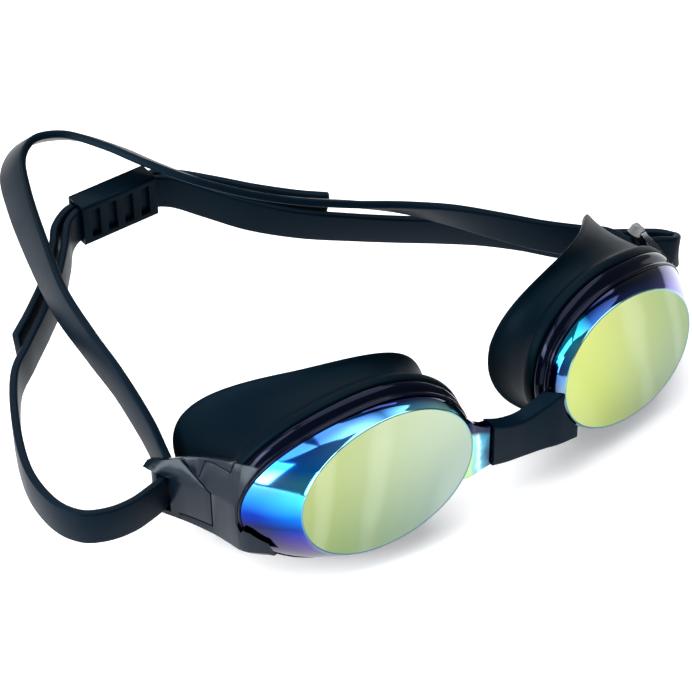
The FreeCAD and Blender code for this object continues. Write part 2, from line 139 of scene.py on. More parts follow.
# a UV map: across is the way round the loop, up is the row
def markAround(piece, count, last):
    mesh = bmesh.from_edit_mesh(piece.data)
    place = mesh.verts.layers.int["place"]
    row = mesh.verts.layers.int["row"]
    uv = mesh.loops.layers.uv.new("around")
    for f in mesh.faces:
        turns = [v[place] for v in f.verts]
        wraps = max(turns) - min(turns) > count / 2
        for corner in f.loops:
            turn = corner.vert[place]
            if wraps and turn < count / 2:
                turn += count
            corner[uv].uv = (turn / count, corner.vert[row] / max(last, 1))
    bmesh.update_edit_mesh(piece.data)


def applied(piece, kind, **settings):
    activate(piece)
    modifier = piece.modifiers.new(kind.lower(), kind)
    for key, value in settings.items():
        setattr(modifier, key, value)
    bpy.ops.object.modifier_apply(modifier=modifier.name)


def smooth(piece, degrees=35):
    activate(piece)
    bpy.ops.object.shade_smooth_by_angle(angle=math.radians(degrees))
    return piece


# cuts the corners of the closed profile that runs from ring to ring
def rounded(rings, cut=0.25, times=2):
    for _ in range(times):
        fresh = []
        for first, second in zip(rings, rings[1:] + rings[:1]):
            fresh.append(mixRings(first, second, cut))
            fresh.append(mixRings(first, second, 1 - cut))
        rings = fresh
    return rings


def mixRings(first, second, share):
    return [Vector(p).lerp(Vector(q), share) for p, q in zip(first, second)]


def mirrored(rings):
    return [[Vector((-p[0], p[1], p[2])) for p in ring] for ring in rings]


def sideOf(side, rings):
    return rings if side == "right" else mirrored(rings)


# the eye cups: points are along the lens to the temple, up it, and back from its face

eye = {"spacing": 66.0, "wrap": 7.7, "lean": 5.3, "droop": 12.3, "points": 128}


def lensAxes():
    w, p, s = (math.radians(eye[key]) for key in ("wrap", "lean", "droop"))
    level = Vector((-math.cos(w), math.sin(w), 0))
    flatFront = Vector((-math.sin(w), -math.cos(w), 0))
    up = Vector((0, 0, math.cos(p))) - flatFront * math.sin(p)
    front = flatFront * math.cos(p) + Vector((0, 0, math.sin(p)))
    return level * math.cos(s) - up * math.sin(s), up * math.cos(s) + level * math.sin(s), front


alongLens, upLens, lensFront = lensAxes()


def inLens(u, v, depth):
    return Vector((-eye["spacing"] / 2, 0, 0)) + alongLens * u + upLens * v - lensFront * depth


def oval(shift, halfLength, top, bottom, reach, power=2.1, drop=0.0, taper=0.0):
    points = []
    for i in range(eye["points"]):
        a = 2 * math.pi * i / eye["points"]
        c, s = math.cos(a), math.sin(a)
        u = shift + halfLength * math.copysign(abs(c) ** (2 / power), c)
        height = top if s > 0 else bottom
        v = drop + height * math.copysign(abs(s) ** (2 / power), s) * (1 + taper * c)
        points.append((u, v, reach(u, v)))
    return points


# the loop drawn in by inset and moved back by deeper
def drawn(loop, inset, deeper=0.0):
    midU = sum(p[0] for p in loop) / len(loop)
    midV = sum(p[1] for p in loop) / len(loop)
    halfU = max(abs(p[0] - midU) for p in loop)
    halfV = max(abs(p[1] - midV) for p in loop)
    su, sv = 1 - inset / halfU, 1 - inset / halfV
    return [(midU + (p[0] - midU) * su, midV + (p[1] - midV) * sv, p[2] + deeper) for p in loop]


def between(first, second, share):
    return [tuple(p + (q - p) * share for p, q in zip(a, b)) for a, b in zip(first, second)]


def placed(loops):
    return [[inLens(*p) for p in loop] for loop in loops]


# slot 0 is the face, 1 its lip, 2 the side wall and 3 the inside

lensShape = {"faceLength": 20.9, "faceHeight": 16.3, "faceShift": 0.3, "facePower": 2.06,
             "dome": 1.1, "lip": 0.32, "sideLength": 26.1, "sideHeight": 17.7, "sideShift": 4.3,
             "sideDepth": 4.1, "sideTilt": 0.03, "sideSweep": 0.0062, "sideBulge": 0.35,
             "sideSteps": 10, "wall": 1.5, "innerGap": 0.6, "spigotStep": 1.0, "spigotDepth": 2.2}


def sideReach(u, v):
    s = lensShape
    return s["sideDepth"] + s["sideTilt"] * u + s["sideSweep"] * max(u, 0.0) ** 2


def behindSide(extra):
    return lambda u, v: sideReach(u, v) + extra


faceLoop = oval(lensShape["faceShift"], lensShape["faceLength"], lensShape["faceHeight"],
                lensShape["faceHeight"], lambda u, v: 0.0, lensShape["facePower"])
sideLoop = oval(lensShape["sideShift"], lensShape["sideLength"], lensShape["sideHeight"],
                lensShape["sideHeight"], behindSide(0.0))


# from the middle of the front face, over the edge and down the side, then back up the inside
def lensLoops():
    s = lensShape
    middle, lip = s["faceShift"], s["lip"]
    loops, slots = [], []
    for share in (0.03, 0.25, 0.45, 0.62, 0.76, 0.87, 0.95):
        rise = s["dome"] * (1 - share ** 2)
        loops.append([(middle + (u - middle) * share, v * share, -rise) for u, v, _ in faceLoop])
        slots.append(0)
    for inset, deeper, slot in ((lip * 1.2, -0.1, 1), (lip * 0.7, -0.16, 1),
                                (lip * 0.2, -0.08, 1), (0.0, 0.12, 2)):
        loops.append(drawn(faceLoop, inset, deeper))
        slots.append(slot)
    for i in range(1, s["sideSteps"] + 1):
        share = i / s["sideSteps"]
        swell = s["sideBulge"] * math.sin(math.pi * share)
        loops.append(drawn(between(faceLoop, sideLoop, share), -swell))
        slots.append(2)
    for inset, deeper in ((s["spigotStep"], 0.1), (s["spigotStep"], s["spigotDepth"]),
                          (s["spigotStep"] + s["wall"], s["spigotDepth"])):
        loops.append(drawn(sideLoop, inset, deeper))
        slots.append(3)
    mouth = drawn(sideLoop, s["wall"] + s["innerGap"])
    behindFace = drawn(faceLoop, s["wall"], s["wall"])
    loops += [mouth, between(mouth, behindFace, 0.5), behindFace]
    for share in (0.7, 0.35, 0.03):
        depth = s["wall"] - s["dome"] * (1 - share ** 2) * 0.8
        loops.append([(middle + (u - middle) * share, v * share, depth) for u, v, _ in behindFace])
    slots += [3] * 6
    return loops, slots


def makeLens(side):
    loops, slots = lensLoops()
    return smooth(loft("lens" + side.title(), sideOf(side, placed(loops)),
                       slotOfRow=lambda row: slots[row]), 40)


rimShape = {"proud": 0.5, "groove": 0.5, "depth": 4.2, "heightGain": 1.6, "wall": 3.0,
            "shoulderOut": 0.3, "shoulderDepth": 2.7, "backOut": 0.4, "seat": 2.4}


def rimLoops():
    s = rimShape
    shift, proud = lensShape["sideShift"], s["proud"]
    half = lensShape["sideLength"] + proud
    high = lensShape["sideHeight"] + s["heightGain"]
    shoulder = oval(shift, half + s["shoulderOut"], high, high, behindSide(s["shoulderDepth"]))
    back = oval(shift, half + s["backOut"], high + s["backOut"], high + s["backOut"],
                behindSide(s["depth"]))
    front = [drawn(sideLoop, 0.25, 0.25), drawn(sideLoop, -0.3, 0.05), drawn(sideLoop, -proud, 0.5),
             drawn(sideLoop, -proud, 1.2), drawn(sideLoop, -proud + s["groove"], 1.7),
             drawn(sideLoop, -proud - 0.2, 2.15)]
    return front + [shoulder, back, drawn(back, s["wall"]), drawn(sideLoop, s["seat"], s["seat"])], back


gasketShape = {"wall": 2.6, "beadDepth": 2.0, "beadProud": 0.9, "grooveDepth": 3.7, "length": 27.6,
               "shift": 6.0, "top": 22.0, "bottom": 17.6, "drop": -1.5, "taper": -0.12, "power": 2.3,
               "depth": 14.6, "tilt": 0.02, "sweep": 0.0172, "brow": 0.26, "browTwist": 0.019}


def sealReach(u, v):
    s = gasketShape
    above = max(v, 0.0)
    return (s["depth"] + s["tilt"] * u + s["sweep"] * u * u
            + s["brow"] * above + s["browTwist"] * u * above)


def gasketLoops(rimBack):
    s = gasketShape
    bead = drawn(rimBack, -s["beadProud"] + 0.4, s["beadDepth"])
    groove = drawn(rimBack, 0.8, s["grooveDepth"])
    edge = oval(s["shift"], s["length"], s["top"], s["bottom"], sealReach, s["power"], s["drop"],
                s["taper"])
    waist = drawn(between(groove, edge, 0.5), 1.0)
    flare = drawn(between(waist, edge, 0.6), 0.25)
    lip = drawn(edge, 0.0, -0.5)
    outer = [rimBack, drawn(rimBack, -0.35, 0.7), bead, drawn(bead, 0.35, 0.9),
             groove, waist, flare, lip, edge]
    inner = [drawn(edge, s["wall"] * 0.45, 0.35), drawn(edge, s["wall"]), drawn(waist, s["wall"]),
             drawn(groove, s["wall"]), drawn(rimBack, rimShape["wall"])]
    return outer + inner


print("eye cup shapes ready")

# the nose bridge: stations along X give front, back, top and bottom

bridge = {
    "rightArm": [(-17.5, -0.9, 1.2, 7.6, -8.5), (-13.5, -2.0, 1.0, 7.6, -8.9),
                 (-11.0, -1.7, 1.1, 5.2, -9.3), (-8.5, -1.3, 1.3, 3.1, -9.4),
                 (-6.0, -1.0, 1.6, 1.9, -9.5), (-1.6, -0.5, 1.3, -0.9, -9.8)],
    "sleeve": [(-6.0, -1.7, 2.3, 2.0, -9.6), (-2.0, -1.6, 2.4, 0.0, -10.8),
               (3.0, -1.5, 2.5, -1.1, -11.8), (8.0, -1.9, 2.3, 0.2, -12.3),
               (12.0, -2.7, 1.9, 2.2, -12.5), (16.5, -3.2, 1.6, 3.6, -12.4)],
    "leftArm": [(1.8, -0.2, 1.2, -2.3, -10.3), (8.0, -0.6, 1.0, -1.1, -11.0),
                (14.6, -0.8, 0.6, 1.0, -11.0)],
    "steps": 6, "corner": 0.75, "clear": 0.35, "rightCorner": 0.6, "leftCorner": 0.4,
}


# a smooth value at t along a list of values, by Catmull and Rom's rule
def curveThrough(values, t):
    i = min(int(t), len(values) - 2)
    f = t - i
    a, b = values[max(i - 1, 0)], values[i]
    c, d = values[i + 1], values[min(i + 2, len(values) - 1)]
    if i == 0:
        a = tuple(2 * q - r for q, r in zip(b, c))
    if i + 2 > len(values) - 1:
        d = tuple(2 * q - r for q, r in zip(c, b))
    return tuple(0.5 * (2 * q + (r - p) * f + (2 * p - 5 * q + 4 * r - s) * f * f
                        + (3 * q - 3 * r + s - p) * f ** 3) for p, q, r, s in zip(a, b, c, d))


# the outline of a box with rounded corners, as (across, up) pairs
def roundedBox(halfWide, halfHigh, corner, perCorner=4):
    corner = min(corner, halfWide * 0.98, halfHigh * 0.98)
    points = []
    for cx, cy, start in ((1, 1, 0), (-1, 1, 90), (-1, -1, 180), (1, -1, 270)):
        for i in range(perCorner + 1):
            a = math.radians(start + 90 * i / perCorner)
            points.append((cx * (halfWide - corner) + corner * math.cos(a),
                           cy * (halfHigh - corner) + corner * math.sin(a)))
    return points


def stationRings(stations, corner):
    rings = []
    total = (len(stations) - 1) * bridge["steps"]
    for i in range(total + 1):
        x, front, back, top, bottom = curveThrough(stations, i / bridge["steps"])
        wide, high = (back - front) / 2, (top - bottom) / 2
        rings.append([Vector((x, (front + back) / 2 + p, (top + bottom) / 2 + q))
                      for p, q in roundedBox(wide, high, corner)])
    return rings


# the temple block: stations along Y give outer, inner, ridge x, bottom, brow and ridge height

block = {
    "stations": [(9.2, -58.1, -54.8, -54.4, -15.1, -3.2, 5.6),
                 (13.4, -61.7, -57.2, -56.4, -15.5, -2.0, 7.4),
                 (17.0, -62.5, -59.0, -57.8, -15.8, -2.3, 6.6),
                 (22.0, -63.6, -61.0, -59.9, -15.9, -2.7, 5.4),
                 (28.0, -66.2, -62.7, -62.4, -15.5, -3.6, 3.3),
                 (34.0, -69.4, -64.7, -66.2, -15.2, -4.4, 0.2),
                 (38.4, -71.4, -66.6, -68.2, -15.0, -4.6, -1.8)],
    "steps": 3, "edge": 1.3, "bevel": 0.38,
    "seam": 22.0, "gap": 0.35, "lobe": (33.0, 2.7), "brow": -2.7, "lobeGap": 0.45,
    "earTop": -12.5, "earEnd": 29.0, "earGap": 0.9,
    "tab": [(34.0, 3.2), (34.0, 12.0), (19.2, 12.0), (19.0, 3.9), (23.2, 4.0), (25.7, 3.5),
            (25.8, -0.5)],
    "tabGap": 0.2, "tabDepth": -57.2, "press": 1.5, "trench": 1.2,
    "bar": (-67.8, 36.4), "barRadius": 1.5, "slotFront": 31.6, "slotLow": -12.75, "slotHigh": -3.25,
    "before": 5, "behind": 60, "beyond": 40,         # how far a cutter reaches past the block
}


def blockRings(shift=0.0):
    rings = []
    steps, edge = block["steps"], block["edge"]
    total = (len(block["stations"]) - 1) * steps
    for i in range(total + 1):
        y, outer, inner, ridge, bottom, brow, peak = curveThrough(block["stations"], i / steps)
        corners = [(outer + edge, bottom), (inner, bottom),
                   (inner + 0.4, peak - 1.4), (ridge + 0.5, peak - 0.2),
                   (ridge - 0.9, peak - 0.15), (outer + 0.1, brow + 0.5),
                   (outer, brow - 0.4), (outer, bottom + edge)]
        rings.append([Vector((x + shift, y, z)) for x, z in corners])
    return rings


# a slab across X on an outline of (y, z), wound either way
def prism(outline, grow=0.0, low=-95.0, high=-30.0):
    area = sum(a[0] * b[1] - b[0] * a[1] for a, b in zip(outline, outline[1:] + outline[:1]))
    turn = 1 if area > 0 else -1
    grown = []
    for before, at, after in zip(outline[-1:] + outline[:-1], outline, outline[1:] + outline[:1]):
        n1 = Vector((at[1] - before[1], before[0] - at[0])).normalized() * turn
        n2 = Vector((after[1] - at[1], at[0] - after[0])).normalized() * turn
        out = (n1 + n2) / (1 + n1.dot(n2))
        grown.append((at[0] + out.x * grow, at[1] + out.y * grow))
    return loft("cutter", [[Vector((x, y, z)) for y, z in grown] for x in (low, high)])


def carve(piece, operation, cutter):
    applied(piece, "BOOLEAN", operation=operation, object=cutter, solver="EXACT")
    bpy.data.objects.remove(cutter, do_unlink=True)


def upright(name, x, y, radius, low, high, points=32):
    turns = [2 * math.pi * i / points for i in range(points)]
    rings = [[Vector((x + radius * math.cos(a), y + radius * math.sin(a), z)) for a in turns]
             for z in (low, high)]
    return loft(name, rings)


def slab(lowCorner, highCorner):
    (x0, y0, z0), (x1, y1, z1) = lowCorner, highCorner
    return prism([(y0, z0), (y1, z0), (y1, z1), (y0, z1)], low=x0, high=x1)


def crisp(piece, width):
    activate(piece)
    bpy.ops.object.mode_set(mode="EDIT")
    bpy.ops.mesh.select_all(action="SELECT")
    bpy.ops.mesh.remove_doubles(threshold=0.00002)
    bpy.ops.mesh.dissolve_limited(angle_limit=math.radians(1.5))
    bpy.ops.mesh.normals_make_consistent(inside=False)
    bpy.ops.object.mode_set(mode="OBJECT")
    applied(piece, "BEVEL", width=width * mm, segments=3, limit_method="ANGLE",
            angle_limit=math.radians(28), use_clamp_overlap=True, harden_normals=False)
    return smooth(piece, 30)


# turns a right-hand piece into its left-hand mirror
def flipped(piece):
    for v in piece.data.vertices:
        v.co.x = -v.co.x
    piece.data.flip_normals()
    return piece


def makeLug(side):
    b = block
    lug = loft("templeLug" + side.title(), blockRings())
    before, beyond = b["before"], b["beyond"]
    zone = [(before, -beyond), (b["seam"], -beyond), (b["earEnd"], -beyond), (b["earEnd"], b["earTop"]),
            (b["seam"], b["earTop"]), (b["seam"], b["brow"]), b["lobe"], (b["lobe"][0], beyond),
            (before, beyond)]
    carve(lug, "INTERSECT", prism(zone))
    carve(lug, "DIFFERENCE", prism(b["tab"], b["tabGap"], high=b["tabDepth"]))
    trench = [drawn(faceLoop, -b["trench"]), drawn(sideLoop, -b["trench"]),
              drawn(sideLoop, -b["trench"], 1.0)]
    carve(lug, "DIFFERENCE", loft("cutter", placed(trench)))
    lug = crisp(lug, b["bevel"])
    return lug if side == "right" else flipped(lug)


def makeTab(side):
    b = block
    tab = loft("releaseTab" + side.title(), blockRings())
    before, beyond = b["before"], b["beyond"]
    zone = [(before, -beyond), (b["lobe"][0], -beyond), b["lobe"], (b["lobe"][0], beyond),
            (before, beyond)]
    carve(tab, "INTERSECT", prism(b["tab"]))
    carve(tab, "INTERSECT", prism(zone))
    carve(tab, "DIFFERENCE", loft("cutter", blockRings(b["press"])))
    tab = crisp(tab, b["bevel"] * 0.8)
    return tab if side == "right" else flipped(tab)


def makeBuckle(side):
    b = block
    slant = (b["lobe"][1] - b["brow"]) / (b["lobe"][0] - b["seam"])
    drop = slant * b["gap"] - b["lobeGap"]
    behind, beyond = b["behind"], b["beyond"]
    lobeEnd, seam, ear = b["lobe"][0] + b["gap"], b["seam"] + b["gap"], b["earEnd"] + b["earGap"]
    earTop = b["earTop"] + b["gap"]
    buckle = loft("buckle" + side.title(), blockRings())
    zone = [(ear, -beyond), (behind, -beyond), (behind, beyond), (lobeEnd, beyond),
            (lobeEnd, b["lobe"][1] + drop), (seam, b["brow"] + drop), (seam, earTop), (ear, earTop)]
    carve(buckle, "INTERSECT", prism(zone))
    barX, barY = b["bar"]
    slot = slab((barX - 15, b["slotFront"], b["slotLow"]), (barX + 15, barY + 20, b["slotHigh"]))
    carve(buckle, "DIFFERENCE", slot)
    buckle = crisp(buckle, b["bevel"])
    bar = smooth(upright("bar", barX, barY, b["barRadius"], b["slotLow"] - 1, b["slotHigh"] + 1), 40)
    activate(bar)
    buckle.select_set(True)
    bpy.context.view_layer.objects.active = buckle
    bpy.ops.object.join()
    return buckle if side == "right" else flipped(buckle)


# the strap: x, y, z and the degrees that its top edge leans to the inside of the turn

strap = {
    "width": 8.7, "thickness": 1.9, "corner": 0.55, "steps": 8,
    "tip": [(0.93, 0.3), (0.75, 0.5)],               # a rounded end: size and step forward
    "lowerRight": [
        (-30.2, 111.5, 3.7, 0), (-33.5, 111.5, 3.7, 0), (-37.5, 111.5, 3.7, 0),
        (-41.0, 111.3, 3.6, 0), (-44.9, 109.0, 3.0, 0), (-49.2, 103.4, 2.0, 0),
        (-55.6, 96.4, 0.2, 0), (-63.4, 90.0, -1.6, 0), (-70.8, 84.4, -3.0, 0),
        (-78.2, 78.2, -4.2, 0), (-85.4, 65.8, -5.9, 0), (-90.4, 52.5, -7.1, 0),
        (-91.0, 41.8, -7.8, 0), (-88.4, 35.2, -8.0, 0), (-83.6, 32.2, -8.0, 0),
        (-78.0, 31.4, -8.0, 0), (-72.5, 32.3, -8.0, 0)],
    "upperRight": [
        (-67.7, 33.7, -8.0, 0), (-65.8, 34.5, -8.0, 0), (-64.8, 36.6, -8.0, 0),
        (-64.2, 41.2, -5.4, 0), (-63.9, 46.8, -1.4, 0), (-64.0, 56.4, 4.0, 0),
        (-64.2, 67.6, 7.8, 4), (-62.9, 82.0, 10.3, 12), (-58.8, 98.2, 12.6, 24),
        (-53.2, 115.4, 14.0, 34), (-47.6, 127.4, 14.6, 42), (-40.0, 132.4, 15.2, 48)],
    "upperLeft": [
        (-31.6, 129.0, 15.2, 50), (-25.6, 119.4, 14.6, 50), (-20.9, 109.2, 13.5, 50),
        (-14.4, 99.6, 11.3, 50), (-5.2, 91.4, 8.2, 52), (4.6, 84.9, 5.6, 54),
        (15.0, 79.0, 3.6, 54), (24.8, 72.4, 2.2, 44), (34.0, 65.0, 0.2, 26),
        (42.4, 57.6, -2.4, 12), (50.0, 51.2, -4.8, 4), (57.2, 46.0, -6.6, 0),
        (62.2, 42.6, -7.4, 0), (64.2, 39.6, -7.9, 0), (64.8, 36.6, -8.0, 0),
        (65.8, 34.5, -8.0, 0)],
    "lowerLeft": [
        (67.7, 33.7, -8.0, 0), (71.2, 32.3, -8.4, 0), (74.6, 31.4, -9.4, 0),
        (77.0, 33.2, -10.6, 0), (75.9, 37.8, -11.6, 0), (71.0, 42.9, -12.4, 0),
        (65.0, 48.2, -13.0, 0), (59.0, 53.7, -13.0, 0), (52.4, 60.2, -12.0, -6),
        (44.6, 66.3, -10.7, -10), (36.0, 71.4, -9.3, -12), (26.8, 76.6, -7.9, -12),
        (17.0, 82.6, -6.4, -10), (6.9, 88.9, -4.5, -6), (-2.4, 96.4, -2.1, 0),
        (-9.6, 104.0, 0.5, 0), (-14.8, 109.2, 2.6, 0), (-19.0, 111.3, 3.6, 0),
        (-22.5, 111.5, 3.7, 0), (-26.5, 111.5, 3.7, 0)],
    "end": [(-29.8, 111.5, 3.7, 0)],
    "tailRight": [
        (-29.7, 113.7, 3.7, 0), (-26.0, 113.7, 3.7, 0), (-21.5, 113.7, 3.7, 0),
        (-17.5, 113.4, 3.5, 0), (-12.6, 110.4, 2.8, 0), (-6.8, 104.8, 1.8, 0),
        (0.6, 98.0, 0.2, 3), (8.2, 92.3, -1.4, 6), (14.2, 88.4, -2.4, 8)],
    "tailLeft": [
        (-30.3, 113.7, 3.7, 0), (-34.0, 113.7, 3.7, 0), (-38.5, 113.7, 3.7, 0),
        (-42.4, 113.4, 3.5, 0), (-47.2, 110.5, 2.8, 0), (-50.9, 105.8, 1.8, 0),
        (-57.2, 99.0, 0.2, 0), (-65.2, 92.6, -1.5, 0), (-71.4, 88.2, -2.5, 0)],
}
wholeStrap = (strap["lowerRight"] + strap["upperRight"] + strap["upperLeft"] + strap["lowerLeft"]
              + strap["end"])


# the flat band between two numbered points of a route
def bandPiece(name, route, first, last, inside=1, roundEnd=False):
    rings = []
    steps, near = strap["steps"], 0.02
    outline = roundedBox(strap["thickness"] / 2, strap["width"] / 2, strap["corner"], 3)
    for i in range(first * steps, last * steps + 1):
        t = i / steps
        here = curveThrough(route, min(t, len(route) - 1))
        ahead = curveThrough(route, min(t + near, len(route) - 1))
        behind = curveThrough(route, max(t - near, 0))
        centre = Vector(here[:3])
        along = (Vector(ahead[:3]) - Vector(behind[:3])).normalized()
        side = along.cross(Vector((0, 0, inside))).normalized()
        lean = math.radians(here[3])
        up = Vector((0, 0, 1)) * math.cos(lean) + side * math.sin(lean)
        up = (up - along * up.dot(along)).normalized()
        across = up.cross(along)
        rings.append([centre + across * p + up * q for p, q in outline])
    if roundEnd:
        tip = rings[-1]
        middle = sum(tip, Vector((0, 0, 0))) / len(tip)
        for share, on in strap["tip"]:
            rings.append([middle + (p - middle) * share + along * on for p in tip])
    return smooth(loft(name, rings), 40)


# shader tools

# a number that a node gives; sums on it add Math nodes
class Value:

    def __init__(self, tree, socket):
        self.tree, self.socket = tree, socket

    def math(self, kind, first, second):
        return self.tree.node("ShaderNodeMath", {"operation": kind}, {0: first, 1: second})

    def __add__(self, other):
        return self.math("ADD", self, other)

    def __sub__(self, other):
        return self.math("SUBTRACT", self, other)

    def __rsub__(self, other):
        return self.math("SUBTRACT", other, self)

    def __mul__(self, other):
        return self.math("MULTIPLY", self, other)

    __radd__ = __add__
    __rmul__ = __mul__


# one material; node() adds any node and gives its output
class Finish:

    def __init__(self, name):
        self.material = bpy.data.materials.new(name)
        self.material.use_nodes = True
        self.nodes = self.material.node_tree.nodes
        self.links = self.material.node_tree.links
        self.shader = self.nodes["Principled BSDF"]

    def node(self, kind, settings=None, inputs=None, output=0):
        made = self.nodes.new(kind)
        for key, value in (settings or {}).items():
            if key == "stops":
                ramp = made.color_ramp
                while len(ramp.elements) > 1:
                    ramp.elements.remove(ramp.elements[-1])
                for number, (position, colour) in enumerate(value):
                    stop = ramp.elements[0] if number == 0 else ramp.elements.new(position)
                    stop.position = position
                    stop.color = colour
            else:
                setattr(made, key, value)
        for key, value in (inputs or {}).items():
            self.feed(made.inputs[key], value)
        return Value(self, made.outputs[output])

    def feed(self, socket, value):
        if isinstance(value, Value):
            self.links.new(value.socket, socket)
        else:
            socket.default_value = value

    def set(self, **values):
        for key, value in values.items():
            self.feed(self.shader.inputs[key.replace("_", " ")], value)

    def place(self):
        return self.node("ShaderNodeTexCoord", output="Object")

    def around(self):
        return self.node("ShaderNodeUVMap", {"uv_map": "around"})

    def parts(self, vector):
        split = self.node("ShaderNodeSeparateXYZ", inputs={0: vector})
        return [Value(self, split.socket.node.outputs[i]) for i in range(3)]

    def ramp(self, value, stops):
        return self.node("ShaderNodeValToRGB", {"stops": stops}, {0: value})

    # 0 up to low, 1 from high, and a smooth step between them
    def span(self, value, low, high):
        return self.node("ShaderNodeMapRange", {"interpolation_type": "SMOOTHSTEP"},
                         {0: value, 1: low, 2: high})

    def mix(self, share, first, second):
        return self.node("ShaderNodeMix", {"data_type": "RGBA"},
                         {"Factor": share, 6: first, 7: second}, 2)

    def noise(self, scale, detail=3.0, rough=0.5):
        return self.node("ShaderNodeTexNoise", inputs={
            "Vector": self.place(), "Scale": scale, "Detail": detail, "Roughness": rough})

    def bump(self, height, strength, distance):
        return self.node("ShaderNodeBump", inputs={
            "Height": height, "Strength": strength, "Distance": distance * mm})


# a screen colour of 0 to 255 a channel, as the linear colour that a shader takes
def paint(red, green, blue):
    linear = [c / 255 / 12.92 if c <= 10 else ((c / 255 + 0.055) / 1.055) ** 2.4
              for c in (red, green, blue)]
    return (*linear, 1.0)


def wear(piece, *materials):
    if piece.data.materials:
        piece.data.materials.clear()
    for material in materials:
        piece.data.materials.append(material)
    return piece


# colours at the nose and the temple end of the face, low and high: the coating's tint with painted
# reflection in it; the stripes are faint painted bright reflections
mirror = {
    "right": {"topIn": (160, 172, 150), "topOut": (146, 158, 104),
              "lowIn": (126, 144, 136), "lowOut": (116, 134, 88)},
    "left": {"topIn": (172, 180, 104), "topOut": (128, 144, 100),
             "lowIn": (158, 172, 84), "lowOut": (124, 142, 116)},
    "span": 19.0, "rise": 15.0, "slant": 0.2, "roughness": 0.18, "haze": 0.06,
    "paintedStripeTint": (245, 250, 240), "paintedStripeLift": 0.07, "bandCount": 260,
    "bandBend": 30, "bandAcross": 1.4, "bandUp": 0.35,
}


def mirrorFace(side):
    m, c = mirror, mirror[side]
    f = Finish("mirrorFace" + side.title())
    x, _, z = f.parts(f.place())
    sign = -1 if side == "right" else 1
    across = (x - sign * eye["spacing"] / 2 * mm) * sign    # grows towards the temple
    out = f.span(across, -m["span"] * mm, m["span"] * mm)
    up = f.span(z + across * m["slant"], -m["rise"] * mm, m["rise"] * mm)
    # the coating's tint, with painted reflection making it lighter towards the top and the nose
    low = f.mix(out, paint(*c["lowIn"]), paint(*c["lowOut"]))
    high = f.mix(out, paint(*c["topIn"]), paint(*c["topOut"]))
    colour = f.mix(up, low, high)
    # faint bright stripes of painted reflection run across the face
    bend = across * across * m["bandBend"] + across * m["bandAcross"] + z * m["bandUp"]
    band = f.node("ShaderNodeMath", {"operation": "SINE"}, {0: bend * m["bandCount"]})
    soft = f.noise(55.0, 1.0)
    paintedStripe = f.span(band * 0.5 + soft, 0.55, 1.15) * m["paintedStripeLift"]
    f.set(Base_Color=f.mix(paintedStripe, colour, paint(*m["paintedStripeTint"])), Metallic=1.0,
          Roughness=soft * m["haze"] + m["roughness"])
    return f.material


def mirrorLip():
    f = Finish("mirrorLip")
    up = f.span(f.parts(f.place())[2], -12 * mm, 12 * mm)
    f.set(Base_Color=f.mix(up, paint(46, 96, 120), paint(120, 165, 160)), Metallic=1.0, Roughness=0.12)
    return f.material


# the way round the lens from the temple over the top, as a share of a turn,
# then the colour near the face and the colour near the rim: the coating's blue with painted bright and
# dark reflection stripes
sideTintAndReflections = {
    "right": [
        (0.00, (6, 40, 130), (16, 24, 64)), (0.03, (8, 96, 190), (8, 44, 150)),
        (0.07, (50, 170, 210), (40, 130, 210)), (0.11, (70, 176, 206), (84, 150, 214)),
        (0.14, (16, 130, 220), (20, 100, 214)), (0.19, (70, 150, 226), (40, 84, 170)),
        (0.24, (110, 176, 232), (52, 96, 170)), (0.28, (38, 84, 130), (8, 18, 52)),
        (0.33, (110, 190, 236), (16, 34, 108)), (0.38, (170, 232, 240), (8, 40, 96)),
        (0.44, (150, 200, 170), (8, 16, 26)), (0.52, (132, 178, 136), (40, 70, 60)),
        (0.62, (150, 180, 130), (60, 80, 60)), (0.74, (128, 150, 140), (40, 44, 70)),
        (0.84, (100, 140, 146), (44, 44, 78)), (0.90, (60, 60, 120), (70, 44, 100)),
        (0.95, (70, 50, 140), (44, 34, 80)), (1.00, (8, 50, 150), (20, 30, 70))],
    "left": [
        (0.00, (150, 150, 190), (110, 90, 140)), (0.06, (120, 110, 180), (60, 60, 120)),
        (0.12, (130, 130, 190), (110, 110, 160)), (0.18, (100, 96, 160), (60, 60, 100)),
        (0.23, (60, 70, 110), (14, 22, 40)), (0.30, (44, 60, 110), (6, 12, 44)),
        (0.36, (30, 70, 130), (6, 20, 60)), (0.41, (70, 190, 220), (40, 170, 210)),
        (0.46, (60, 120, 190), (16, 76, 150)), (0.52, (110, 140, 170), (30, 50, 76)),
        (0.60, (130, 160, 150), (50, 90, 120)), (0.72, (140, 160, 140), (60, 80, 70)),
        (0.84, (120, 140, 160), (50, 60, 80)), (0.93, (130, 130, 180), (60, 60, 110)),
        (1.00, (150, 150, 190), (110, 90, 140))],
}


def mirrorSide(side):
    f = Finish("mirrorSide" + side.title())
    turn, row, _ = f.parts(f.around())
    wave = f.noise(90.0, 1.0)
    wavy = f.node("ShaderNodeMath", {"operation": "FRACT"}, {0: turn + (wave - 0.5) * 0.03 + 1.0})
    # the stops paint bright and dark reflection stripes into the coating's blue
    near = f.ramp(wavy, [(share, paint(*face)) for share, face, rim in sideTintAndReflections[side]])
    far = f.ramp(wavy, [(share, paint(*rim)) for share, face, rim in sideTintAndReflections[side]])
    f.set(Base_Color=f.mix(f.span(row, 0.32, 0.62), near, far), Metallic=1.0,
          Roughness=wave * 0.05 + 0.06)
    return f.material


def lensInside():
    f = Finish("lensInside")
    haze = f.noise(120.0, 2.0)
    f.set(Base_Color=f.mix(haze, paint(20, 26, 38), paint(36, 44, 58)), Roughness=haze * 0.1 + 0.12)
    return f.material


# the nose arm's colours from the lens to the sleeve: the coating's tint with painted reflection and a
# painted bright glint
armTintAndReflections = {0.0: (150, 186, 130), 0.3: (172, 206, 150), 0.5: (120, 206, 214),
              0.68: (205, 240, 246), 0.82: (70, 160, 192), 1.0: (20, 60, 90)}


